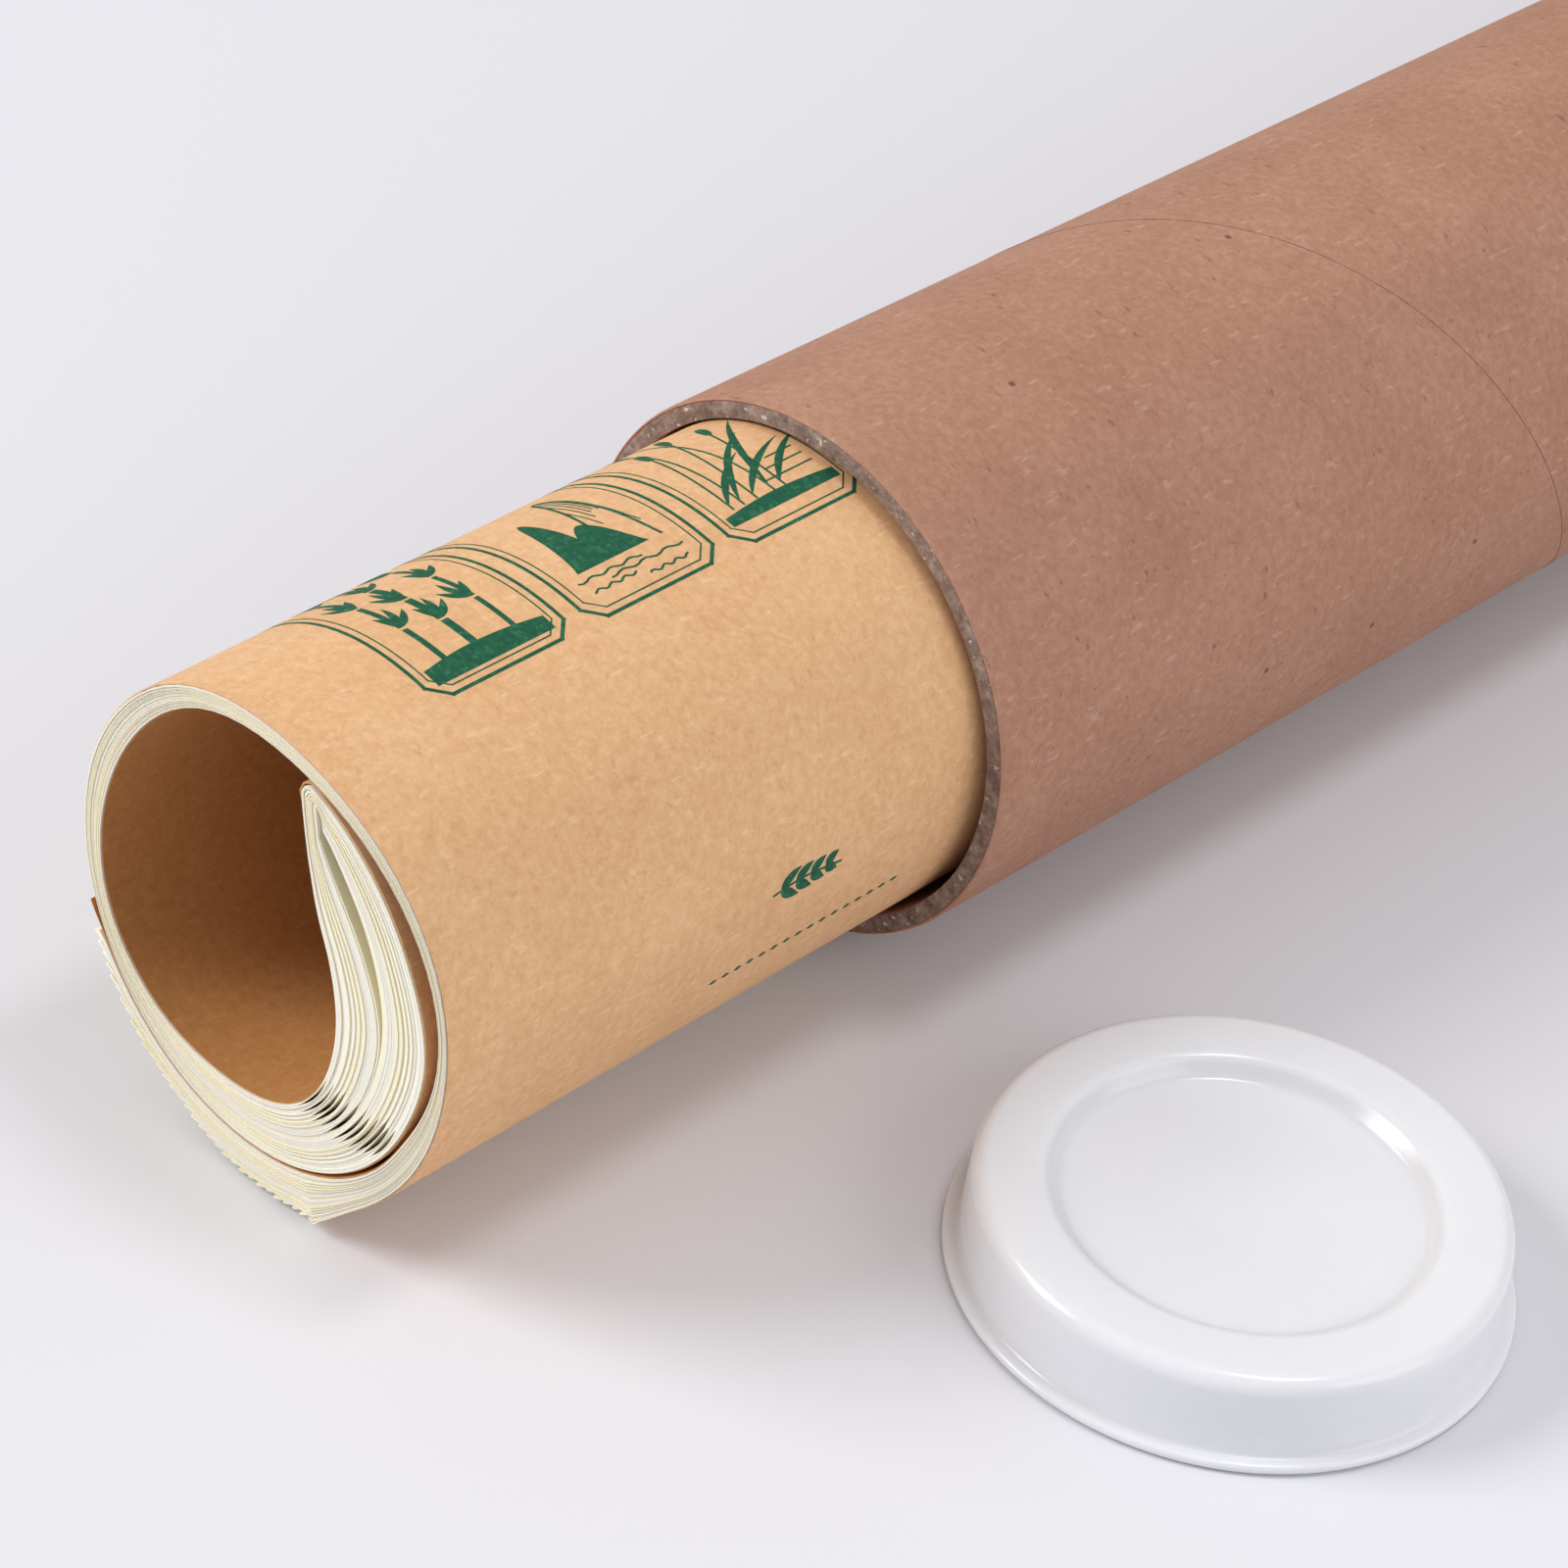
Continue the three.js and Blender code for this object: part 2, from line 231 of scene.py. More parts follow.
def cover_card():
    """Uncoated kraft card, calendered between rollers: smoother and more golden than the tube's
    paper. Its front half, which lines the roll, is darkened by painted shade, for the shade inside
    the roll."""
    made, tree, _, colour, grain = kraft(
        "calendered_kraft_card", light="#e8be92", middle="#dcae80", dark="#cf9d6f",
        fibre_light="#f0cfa9", fibre_dark="#b58557", fibre_share=0.35, mottle=0.25)
    front = node(tree, "ShaderNodeAttribute", {"attribute_name": "shaded_front_half"})
    # Painted shade: the front half, inside the roll, is multiplied darker by a fixed tan
    painted_inside_shade = node(tree, "ShaderNodeMix", {
        "data_type": "RGBA", "blend_type": "MULTIPLY", 0: 1.0, 7: "#ddc7a4"}, {6: colour})
    colour = node(
        tree, "ShaderNodeMix", {"data_type": "RGBA"},
        {0: front.outputs["Fac"], 6: colour, 7: painted_inside_shade.outputs[2]})
    relief = node(
        tree, "ShaderNodeBump", {"Strength": 0.6, "Distance": 0.03 * MM}, {"Height": grain})
    shader = node(
        tree, "ShaderNodeBsdfPrincipled", {"Roughness": 0.74, "Specular IOR Level": 0.25},
        {"Base Color": colour.outputs[2], "Normal": relief})
    node(tree, "ShaderNodeOutputMaterial", links={"Surface": shader})
    return made


def print_ink():
    """Green offset ink on uncoated card: it sinks in, so it stays dull, and thins where the card's
    fibres stand up."""
    made, tree, place = material("green_offset_ink")
    # The card's fibres are too fine to show: the spots of wear are drawn 0.5 mm wide
    wear_and_shade = node(tree, "ShaderNodeTexNoise", {
        "Scale": blotches(0.5 * MM), "Detail": 3, "Roughness": 0.7}, {"Vector": place})
    colour = node(
        tree, "ShaderNodeValToRGB", links={"Fac": wear_and_shade},
        stops=[(0.3, "#0b4a33"), (0.55, "#145a3e"), (0.74, "#3a7a58")])
    relief = node(
        tree, "ShaderNodeBump", {"Strength": 0.5, "Distance": 0.02 * MM}, {"Height": wear_and_shade})
    shader = node(
        tree, "ShaderNodeBsdfPrincipled", {"Roughness": 0.7, "Specular IOR Level": 0.3},
        {"Base Color": colour, "Normal": relief})
    node(tree, "ShaderNodeOutputMaterial", links={"Surface": shader})
    return made


def page_paper():
    """Cream offset paper, cut in a guillotine: each leaf a little whiter or yellower than the next,
    with painted shade in a fine yellow line between single leaves along its cut edge. Light goes a
    little way into it and comes out yellower, which warms the gaps."""
    made, tree, place = material("cream_offset_paper")
    leaf = node(tree, "ShaderNodeAttribute", {"attribute_name": "leaf"})
    colour = node(
        tree, "ShaderNodeValToRGB", links={"Fac": leaf.outputs["Fac"]}, stops=[
            (0.0, "#fef5d9"), (0.35, "#fffbeb"), (0.6, "#fef2ce"), (0.8, "#fffdf1"),
            (1.0, "#fcedbf")])
    # A single leaf is 0.1 mm thick: drawn three to a group, with painted shade where one leaf meets
    # the next, so that its line shows
    depth = node(tree, "ShaderNodeAttribute", {"attribute_name": "depth"})
    from_line = node(
        tree, "ShaderNodeMath", {"operation": "PINGPONG", 1: 0.5}, {0: depth.outputs["Fac"]})
    leaf_line_shade = node(
        tree, "ShaderNodeValToRGB", links={"Fac": from_line}, stops=[(0.0, 0.4), (0.22, 0.0)])
    # Painted shade: a darker yellow where one leaf meets the next
    colour = node(
        tree, "ShaderNodeMix", {"data_type": "RGBA", 7: "#ecdca4"}, {0: leaf_line_shade, 6: colour})
    # Its fibres are too fine to show: they are drawn in flocks of 0.6 mm
    flocks = node(tree, "ShaderNodeTexNoise", {
        "Scale": blotches(0.6 * MM), "Detail": 3, "Roughness": 0.55}, {"Vector": place})
    fibres = node(
        tree, "ShaderNodeValToRGB", links={"Fac": flocks}, stops=[(0.4, 0.0), (0.7, 0.2)])
    colour = node(
        tree, "ShaderNodeMix", {"data_type": "RGBA", 7: "#f2e5b4"},
        {0: fibres, 6: colour.outputs[2]})
    relief = node(
        tree, "ShaderNodeBump", {"Strength": 0.5, "Distance": 0.02 * MM}, {"Height": flocks})
    shader = node(tree, "ShaderNodeBsdfPrincipled", {
        "Roughness": 0.8, "Specular IOR Level": 0.3, "Subsurface Weight": 0.4,
        "Subsurface Scale": 1.2 * MM, "Subsurface Radius": (1.0, 0.85, 0.35),
    }, {"Base Color": colour.outputs[2], "Normal": relief})
    node(tree, "ShaderNodeOutputMaterial", links={"Surface": shader})
    return made


def plug_plastic():
    """Milky polyethylene, vacuum formed from sheet: soft gloss, light passing through it a little,
    with fine scuffs and faint ripples from the mould."""
    made, tree, place = material("moulded_milky_polyethylene")
    # Milkier and clearer patches of about 14 mm
    haze = node(tree, "ShaderNodeTexNoise", {
        "Scale": blotches(14 * MM), "Detail": 3, "Roughness": 0.55}, {"Vector": place})
    colour = node(
        tree, "ShaderNodeValToRGB", links={"Fac": haze},
        stops=[(0.35, "#e5e6eb"), (0.65, "#e9eaee")])
    # Scuffs about 0.4 mm wide and 1.6 mm long
    stretched = node(
        tree, "ShaderNodeVectorMath", {"operation": "MULTIPLY", 1: (0.5, 2.2, 1.0)}, {0: place})
    rubbed = node(tree, "ShaderNodeTexNoise", {
        "Scale": blotches(0.8 * MM), "Detail": 2, "Roughness": 0.6}, {"Vector": stretched})
    scuffs = node(
        tree, "ShaderNodeValToRGB", links={"Fac": rubbed}, stops=[(0.66, 0.0), (0.78, 0.3)])
    colour = node(
        tree, "ShaderNodeMix", {"data_type": "RGBA", 7: "#d5d6da"}, {0: scuffs, 6: colour})
    gloss = node(
        tree, "ShaderNodeValToRGB", links={"Fac": haze}, stops=[(0.3, 0.17), (0.7, 0.24)])
    # Ripples of about 9 mm
    ripples = node(tree, "ShaderNodeTexNoise", {
        "Scale": blotches(9 * MM), "Detail": 1, "Roughness": 0.55}, {"Vector": place})
    relief = node(
        tree, "ShaderNodeBump", {"Strength": 0.5, "Distance": 0.06 * MM}, {"Height": ripples})
    shader = node(tree, "ShaderNodeBsdfPrincipled", {
        "IOR": 1.51, "Subsurface Weight": 0.25, "Subsurface Scale": 2.5 * MM,
        "Subsurface Radius": (1.0, 1.0, 1.0),
    }, {"Base Color": colour.outputs[2], "Roughness": gloss, "Normal": relief})
    node(tree, "ShaderNodeOutputMaterial", links={"Surface": shader})
    return made


CARD = cover_card()
PAPER = tube_paper()
BOARD = tube_board()
SEAM = seam_edge_shade()
INK = print_ink()
PAGES = page_paper()
PLASTIC = plug_plastic()


# Meshes

def mesh_piece(
        name, vertices, faces, materials, body, nodes=(), face_material=None, sharp=40):
    """Makes a piece that rides on a body. Edges bent by more than sharp degrees stay sharp."""
    data = bpy.data.meshes.new(name)
    data.from_pydata(vertices, [], faces)
    for one in materials:
        data.materials.append(one)
    if face_material:
        data.polygons.foreach_set("material_index", face_material)
    data.polygons.foreach_set("use_smooth", [True] * len(data.polygons))
    data.set_sharp_from_angle(angle=math.radians(sharp))
    data.update()
    piece = bpy.data.objects.new(name, data)
    bpy.context.scene.collection.objects.link(piece)
    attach(piece, body)
    if nodes:
        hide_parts(*nodes)
    return piece


def set_point_values(piece, name, values):
    """Gives each point of a piece a number that its material reads."""
    attribute = piece.data.attributes.new(name, "FLOAT", "POINT")
    attribute.data.foreach_set("value", values)


# The tube. A turn is counted from the top towards +X.

TUBE_SIDES = 240
WALL_ROWS = 60
WRAP_THICKNESS = 0.55 * MM
# The wrap winds on by its pitch in each turn, and its edge crosses the tube's top here
WRAP_PITCH = 148.1 * MM
WRAP_SEAM_AT_TOP = 87.9 * MM
SEAM_FROM_MOUTH = 1.0 * MM
SEAM_FROM_FAR_END = 5.5 * MM
# The wrap's lapped edge in section, as (along, height) in millimetres: a cut edge, then a low step
# that fades into the wall
SEAM_SECTION = [
    (-0.13, -0.03), (-0.02, 0.07), (0.25, 0.08), (2.2, 0.035), (4.5, -0.02), (2.2, -0.08)]


def about_axis(radius, along, turn):
    """A point about the tube's axis, with along counted from the mouth."""
    return (
        AXIS_X + radius * math.sin(turn), MOUTH_Y + along, AXIS_Z + radius * math.cos(turn))


def ragged(seed, turn, size):
    """A small uneven value round the tube, the same each run."""
    draw = random.Random(seed)
    total = 0.0
    for wave in (3, 7, 13, 29, 47, 71):
        total += math.sin(wave * turn + draw.uniform(0, TAU)) * draw.uniform(0.3, 1.0) / wave ** 0.5
    return total * size


def tube_column(turn):
    """The wall in section at a turn, as (radius, along): the ragged mouth from the bore outwards,
    the outer wall and the far end."""
    cut = ragged(5, turn, 0.05 * MM)
    curl = 0.14 * MM + 0.07 * MM * (1 + ragged(9, turn, 0.5))
    board = WRAP_THICKNESS + 0.16 * MM + ragged(3, turn, 0.07 * MM)
    first = max(0.0, cut + 0.12 * MM)
    column = [
        (BORE_RADIUS, TUBE_LENGTH),
        (BORE_RADIUS, first + 0.5 * MM),
        (BORE_RADIUS + 0.12 * MM, first + 0.12 * MM),
        (BORE_RADIUS + 0.5 * MM, first + 0.03 * MM),
        (BORE_RADIUS + 1.2 * MM, first + ragged(21, turn, 0.06 * MM) + 0.05 * MM),
        (BORE_RADIUS + 1.9 * MM, first + ragged(22, turn, 0.06 * MM) + 0.05 * MM),
        (TUBE_RADIUS - board, first + 0.08 * MM),
        (TUBE_RADIUS - WRAP_THICKNESS, first + curl),
        (TUBE_RADIUS - WRAP_THICKNESS * 0.55, first + 0.02 * MM),
        (TUBE_RADIUS - WRAP_THICKNESS * 0.2, first + 0.22 * MM),
        (TUBE_RADIUS, first + 0.75 * MM),
    ]
    for row in range(1, WALL_ROWS):
        column.append((TUBE_RADIUS, 0.9 * MM + (TUBE_LENGTH - 1.8 * MM) * row / WALL_ROWS))
    return column + [
        (TUBE_RADIUS, TUBE_LENGTH - 0.7 * MM),
        (TUBE_RADIUS - 0.2 * MM, TUBE_LENGTH - 0.2 * MM),
        (TUBE_RADIUS - 0.6 * MM, TUBE_LENGTH),
    ]


def build_tube():
    vertices, faces, kinds = [], [], []
    for step in range(TUBE_SIDES):
        turn = TAU * step / TUBE_SIDES
        column = tube_column(turn)
        vertices += [about_axis(radius, along, turn) for radius, along in column]
    count = len(column)
    for step in range(TUBE_SIDES):
        after = (step + 1) % TUBE_SIDES
        for index in range(count):
            following = (index + 1) % count
            faces.append((
                step * count + index, after * count + index,
                after * count + following, step * count + following))
            # Material 1, the board, shows in the cut mouth and on the far end
            kinds.append(1 if 1 < index < 7 or index == count - 1 else 0)
    add_seam(vertices, faces, kinds)
    mesh_piece(
        "wound_tube", vertices, faces, [PAPER, BOARD, SEAM], "tube_with_book",
        ["tube"], kinds)


def add_seam(vertices, faces, kinds):
    """The lapped edge of the outer wrap, which winds round the tube."""
    first = (SEAM_FROM_MOUTH - WRAP_SEAM_AT_TOP) / WRAP_PITCH
    last = (TUBE_LENGTH - SEAM_FROM_FAR_END - WRAP_SEAM_AT_TOP) / WRAP_PITCH
    steps = math.ceil((last - first) * TUBE_SIDES)
    base = len(vertices)
    count = len(SEAM_SECTION)
    for step in range(steps + 1):
        turns = first + (last - first) * step / steps
        wander = 0.06 * math.sin(turns * 23) + 0.04 * math.sin(turns * 61 + 1)
        for along, height in SEAM_SECTION:
            vertices.append(about_axis(
                TUBE_RADIUS + height * MM,
                WRAP_SEAM_AT_TOP + turns * WRAP_PITCH + (along + wander) * MM, turns * TAU))
    for step in range(steps):
        for i in range(count):
            j = (i + 1) % count
            a, b = base + step * count, base + (step + 1) * count
            faces.append((a + i, a + j, b + j, b + i))
            # Material 2, the cut edge with its painted shade, is the section's first side
            kinds.append(2 if i == 0 else 0)
    faces.append(tuple(base + i for i in range(count))[::-1])
    faces.append(tuple(base + steps * count + i for i in range(count)))
    kinds.extend((0, 0))


# Plugs

PLUG_SIDES = 160
PLUG_HEIGHT = 13.8 * MM
PLUG_SKIN = 1.1 * MM
PLUG_FLANGE_RADIUS = 38.8 * MM
PLUG_CORNER = 2.4 * MM
PLUG_CORNER_STEPS = 8
PLUG_DISH = 2.6 * MM
# The turned skin stops just short of its axis
PLUG_MIDDLE = 0.05 * MM


def plug_profile():
    """The skin in section, as (radius, height) from the flange's outer face."""
    wall = BORE_RADIUS - 0.2 * MM
    face = wall - 0.2 * MM
    flange, height = PLUG_FLANGE_RADIUS, PLUG_HEIGHT
    outside = [
        (flange - 0.5 * MM, 0),
        (flange - 0.15 * MM, 0.15 * MM),
        (flange, 0.5 * MM),
        (flange, 0.9 * MM),
        (flange - 0.15 * MM, 1.25 * MM),
        (flange - 0.5 * MM, 1.4 * MM),
        (wall + 0.7 * MM, 1.42 * MM),
        (wall + 0.25 * MM, 1.6 * MM),
        (wall, 2.2 * MM),
        (wall - 0.05 * MM, 6 * MM),
    ]
    for step in range(PLUG_CORNER_STEPS + 1):
        angle = step / PLUG_CORNER_STEPS * math.pi / 2
        outside.append((
            face - PLUG_CORNER + PLUG_CORNER * math.cos(angle),
            height - PLUG_CORNER + PLUG_CORNER * math.sin(angle)))
    # The closed face and its dish
    outside += [
        (30.5 * MM, height),
        (28.0 * MM, height - 0.02 * MM),
        (27.2 * MM, height - 0.12 * MM),
        (26.6 * MM, height - 0.5 * MM),
        (25.3 * MM, height - 1.9 * MM),
        (24.9 * MM, height - 2.35 * MM),
        (24.2 * MM, height - PLUG_DISH),
        (23.0 * MM, height - PLUG_DISH - 0.05 * MM),
        (12 * MM, height - PLUG_DISH),
        (PLUG_MIDDLE, height - PLUG_DISH),
    ]
    inside = [
        (wall - PLUG_SKIN, 0),
        (face - PLUG_SKIN, height - PLUG_CORNER),
        (face - PLUG_SKIN - 0.4 * MM, height - PLUG_CORNER + 0.8 * MM),
        (face - PLUG_CORNER, height - PLUG_SKIN),
        (26.9 * MM, height - PLUG_SKIN),
        (26.3 * MM, height - PLUG_SKIN),
        (24.4 * MM, height - PLUG_DISH - PLUG_SKIN),
        (PLUG_MIDDLE, height - PLUG_DISH - PLUG_SKIN),
    ]
    return inside[::-1] + outside


def build_plug(name, node_name, body, place):
    """Turns the plug's skin round its axis. place(radius, height, turn) gives a point."""
    profile = plug_profile()[::-1]
    count = len(profile)
    vertices, faces = [], []
    for step in range(PLUG_SIDES):
        turn = TAU * step / PLUG_SIDES
        vertices += [place(radius, height, turn) for radius, height in profile]
        after = (step + 1) % PLUG_SIDES
        for index in range(count):
            following = (index + 1) % count
            faces.append((
                step * count + index, step * count + following,
                after * count + following, after * count + index))
    mesh_piece(name, vertices, faces, [PLASTIC], body, [node_name], sharp=60)


# The roll. Its section is given in millimetres and degrees, about the roll's middle. The faces are
# (angle, radius), where the angle grows clockwise from the top, as seen from the mouth's side, and
# counts past 360. The folds are (across, up).

BACK_FACE = [
    (18, 32.3), (36, 31.5), (60, 30.9), (84, 31.2), (110, 30.4), (140, 31.0), (170, 32.3),
    (210, 33.5), (250, 34.6), (300, 36.1), (330, 36.8), (372, 35.5), (415, 36.1), (455, 34.7),
    (480, 34.9), (502, 36.2), (511, 37.6), (520, 40.0),
]
FRONT_FACE = [
    (9, 29.9), (20, 21.6), (36, 16.4), (60, 14.3), (88, 14.3), (120, 16.5), (163, 22.3),
    (195, 25.7), (222, 29.3), (250, 31.5), (286, 31.4), (305, 31.9), (337, 33.6), (372, 33.1),
    (415, 34.1), (436, 33.7), (471, 31.1), (490, 31.25), (512, 31.95), (530, 32.55), (565, 33.5),
    (590, 34.25), (600, 34.9), (608, 35.9),
]
FORE_EDGE = [(521, 39.0), (545, 38.1), (563, 37.2), (586, 36.6), (601, 36.3)]
FOLD = [(8.3, 31.7), (6.6, 31.9), (5.3, 31.1)]
OUTERMOST_FOLD = [
    (9.3, 30.7), (8.2, 31.15), (7.4, 31.33), (6.6, 31.35), (5.85, 30.95), (5.35, 30.0),
    (5.75, 27.6), (6.5, 24.3),
]
INNERMOST_FOLD = [
    (9.25, 27.3), (8.85, 28.1), (8.55, 28.6), (8.35, 28.85), (8.2, 28.85), (8.2, 28.4),
    (8.45, 27.2), (8.75, 26.1),
]
# The slot between the book's two halves, as (angle, width)
SLOT_WIDTH = [
    (15, 0.1), (19, 1.2), (25.5, 2.2), (41.7, 2.4), (61.8, 1.7), (77, 0.9), (92, 0.25),
    (110, 0.05),
]
SLOT_END_ANGLE = 112

BOOK_HEIGHT = 420.0
BOOK_PULLED_OUT = 96.5
COVER_THICKNESS = 0.17
# At the end that shows, the leaves stand a little proud of the cover
COVER_SET_BACK = 0.32
FACE_STEP = 3.0

# The roll is squeezed where it enters the bore: what lies outside the first radius shrinks, so that
# it reaches no further than the second. Its middle lies below the tube's by a drop.
SQUEEZE_FROM_RADIUS = 31
SQUEEZED_RADIUS = 36.6
DROP_OUTSIDE = 1.1
DROP_IN_BORE = 0.2
ROLL_END_ANGLE = 609
SQUEEZE_STEPS = 6
ROLL_STATIONS = [0.0, BOOK_HEIGHT - BOOK_PULLED_OUT] + [
    BOOK_HEIGHT - BOOK_PULLED_OUT * (1 - step / SQUEEZE_STEPS)
    for step in range(1, SQUEEZE_STEPS + 1)]


def radius_through(pairs):
    """A smooth radius through (angle, radius) pairs, with each slope from the two neighbours."""
    def slope(i):
        before, after = pairs[max(i - 1, 0)], pairs[min(i + 1, len(pairs) - 1)]
        return (after[1] - before[1]) / (after[0] - before[0])

    def radius(angle):
        i = 0
        while i < len(pairs) - 2 and angle > pairs[i + 1][0]:
            i += 1
        span = pairs[i + 1][0] - pairs[i][0]
        t = min(max((angle - pairs[i][0]) / span, 0), 1)
        start, end = pairs[i][1], pairs[i + 1][1]
        a = slope(i) * span - (end - start)
        b = (end - start) - slope(i + 1) * span
        return start + (end - start) * t + t * (1 - t) * ((1 - t) * a + t * b)
    return radius


back_radius = radius_through(BACK_FACE)
front_radius = radius_through(FRONT_FACE)
edge_radius = radius_through(FORE_EDGE)
slot_width = radius_through(SLOT_WIDTH)
outside_radius = radius_through(BACK_FACE + FORE_EDGE[1:] + [(608, 36.2)])


def polar(angle, radius):
    return (radius * math.sin(math.radians(angle)), radius * math.cos(math.radians(angle)))


def open_reach(angle):
    """The roll's outer radius where it lies free."""
    return outside_radius(angle + 360 if angle + 360 <= ROLL_END_ANGLE else angle)


def bore_reach(angle):
    """The radius that the roll has in the bore, about its own middle."""
    side = DROP_IN_BORE * math.sin(math.radians(angle))
    return (math.sqrt(SQUEEZED_RADIUS ** 2 - side ** 2)
            + DROP_IN_BORE * math.cos(math.radians(angle)))


def roll_place(across, up, along):
    """Where a point of the section lies on the roll, with along counted from its inner end."""
    squeeze = min(max((BOOK_HEIGHT - along) / BOOK_PULLED_OUT, 0), 1)
    radius = math.hypot(across, up)
    angle = math.degrees(math.atan2(across, up)) % 360
    share = 1.0
    if radius > SQUEEZE_FROM_RADIUS:
        reach = open_reach(angle)
        excess = max(0.0, reach - bore_reach(angle)) * squeeze
        kept = 1 - excess / (reach - SQUEEZE_FROM_RADIUS)
        share = (SQUEEZE_FROM_RADIUS + (radius - SQUEEZE_FROM_RADIUS) * kept) / radius
    drop = DROP_OUTSIDE + (DROP_IN_BORE - DROP_OUTSIDE) * squeeze
    return (
        AXIS_X + across * share * MM,
        MOUTH_Y + (BOOK_HEIGHT - BOOK_PULLED_OUT - along) * MM,
        AXIS_Z + (up * share - drop) * MM,
    )


def offset(points, distance):
    """Moves a path sideways, to its left for a positive distance."""
    moved = []
    for i, (across, up) in enumerate(points):
        before, after = points[max(i - 1, 0)], points[min(i + 1, len(points) - 1)]
        run, rise = after[0] - before[0], after[1] - before[1]
        size = math.hypot(run, rise)
        moved.append((across - rise / size * distance, up + run / size * distance))
    return moved


def face_points(pairs):
    """A face of the roll as (across, up) points."""
    radius = radius_through(pairs)
    first, last = pairs[0][0], pairs[-1][0]
    count = math.ceil((last - first) / FACE_STEP)
    angles = [first + (last - first) * i / count for i in range(count + 1)]
    return [polar(angle, radius(angle)) for angle in angles]


def ribbon(vertices, faces, left, right, start_inset, end_inset):
    """A sheet between two paths of the section, extruded along the roll, with closed ends."""
    base = len(vertices)
    outline = left + right[::-1]
    count = len(outline)
    last_station = len(ROLL_STATIONS) - 1
    for number, along in enumerate(ROLL_STATIONS):
        if number == 0:
            along += start_inset
        if number == last_station:
            along -= end_inset
        vertices.extend(roll_place(across, up, along) for across, up in outline)
    for number in range(last_station):
        for i in range(count):
            j = (i + 1) % count
            a, b = base + number * count, base + (number + 1) * count
            faces.append((a + i, a + j, b + j, b + i))
    for number, flip in ((0, True), (last_station, False)):
        a = base + number * count
        for i in range(len(left) - 1):
            quad = (a + i, a + i + 1, a + count - 2 - i, a + count - 1 - i)
            faces.append(quad if flip else quad[::-1])


def build_cover():
    back, front = face_points(BACK_FACE)[::-1], face_points(FRONT_FACE)
    outside = back + FOLD + front
    vertices, faces = [], []
    ribbon(vertices, faces, outside, offset(outside, COVER_THICKNESS), 0, COVER_SET_BACK)
    piece = mesh_piece(
        "kraft_book_cover", vertices, faces, [CARD], "tube_with_book",
        ["rolled_book_cover"])
    # Along the outline: the back half, the fold, the front half, and the same again inside
    # The front half takes the card's painted shade
    half = [0.0] * len(back) + [0.5] * len(FOLD) + [1.0] * len(front)
    set_point_values(piece, "shaded_front_half", (half + half[::-1]) * len(ROLL_STATIONS))


# Leaves, drawn as groups of a few. Leaf 0 lies on the front cover, and the last one on the back
# cover. A sheet is two leaves that meet at the fold. The leaves end one by one along the fore-edge,
# outermost first.

SHEETS = 16
LEAVES = 2 * SHEETS
LEAF_CLEARANCE = 0.05
LEAVES_START_ANGLE = 20.0
BACK_COVER_END_ANGLE = 520.5
FORE_EDGE_START_ANGLE = 521
FORE_EDGE_SPAN = 80
# How far a leaf shows beyond the next one out, in degrees, and how far its cut end springs up
BARE_REACH = FORE_EDGE_SPAN / (LEAVES - 1)
END_LIFT = 0.42
# The leaves with a lens-shaped gap under them, where the fanned leaves bend
COMB = (1, 4, 7, 9, 12, 15, 18, 20, 23, 26, 28, 30)

draw = random.Random(11)
leaf_weight = [draw.uniform(0.75, 1.25) for _ in range(LEAVES)]
line_phase = [[draw.uniform(0, TAU) for _ in range(4)] for _ in range(LEAVES + 1)]
line_size = [draw.choice((0.2, 0.3, 0.5, 0.9)) for _ in range(LEAVES + 1)]


def leaf_end_angle(leaf):
    return FORE_EDGE_START_ANGLE + FORE_EDGE_SPAN - FORE_EDGE_SPAN * leaf / (LEAVES - 1)


def leaf_count_at(angle):
    """How many leaves still reach this angle."""
    if angle <= FORE_EDGE_START_ANGLE:
        return float(LEAVES)
    left = FORE_EDGE_START_ANGLE + FORE_EDGE_SPAN - angle
    return max(1.0, 1 + (LEAVES - 1) * left / FORE_EDGE_SPAN)


def gap_before(i, angle, pitch):
    """The air under leaf i, in millimetres. It opens and closes along the leaves."""
    phase = line_phase[i]
    wave = 0.5 + 0.5 * math.sin(math.radians(angle) * 2.3 + phase[0]) * math.sin(
        math.radians(angle) * 0.9 + phase[1])
    air = pitch * (0.03 + 0.13 * line_size[i] * wave)
    if i in COMB:
        # The lens moves towards the fold and gets shorter from the front cover to the back one
        share = i / LEAVES
        middle = 144 - 25 * share + 0.8 * math.sin(phase[2])
        reach = (11.5 + 1.5 * math.sin(phase[3])) * (1.2 - 0.45 * share)
        lens = max(0.0, 1 - ((angle - middle) / reach) ** 2)
        air = max(air, pitch * (1.45 + 0.2 * math.sin(phase[1])) * lens ** 0.8)
    return air


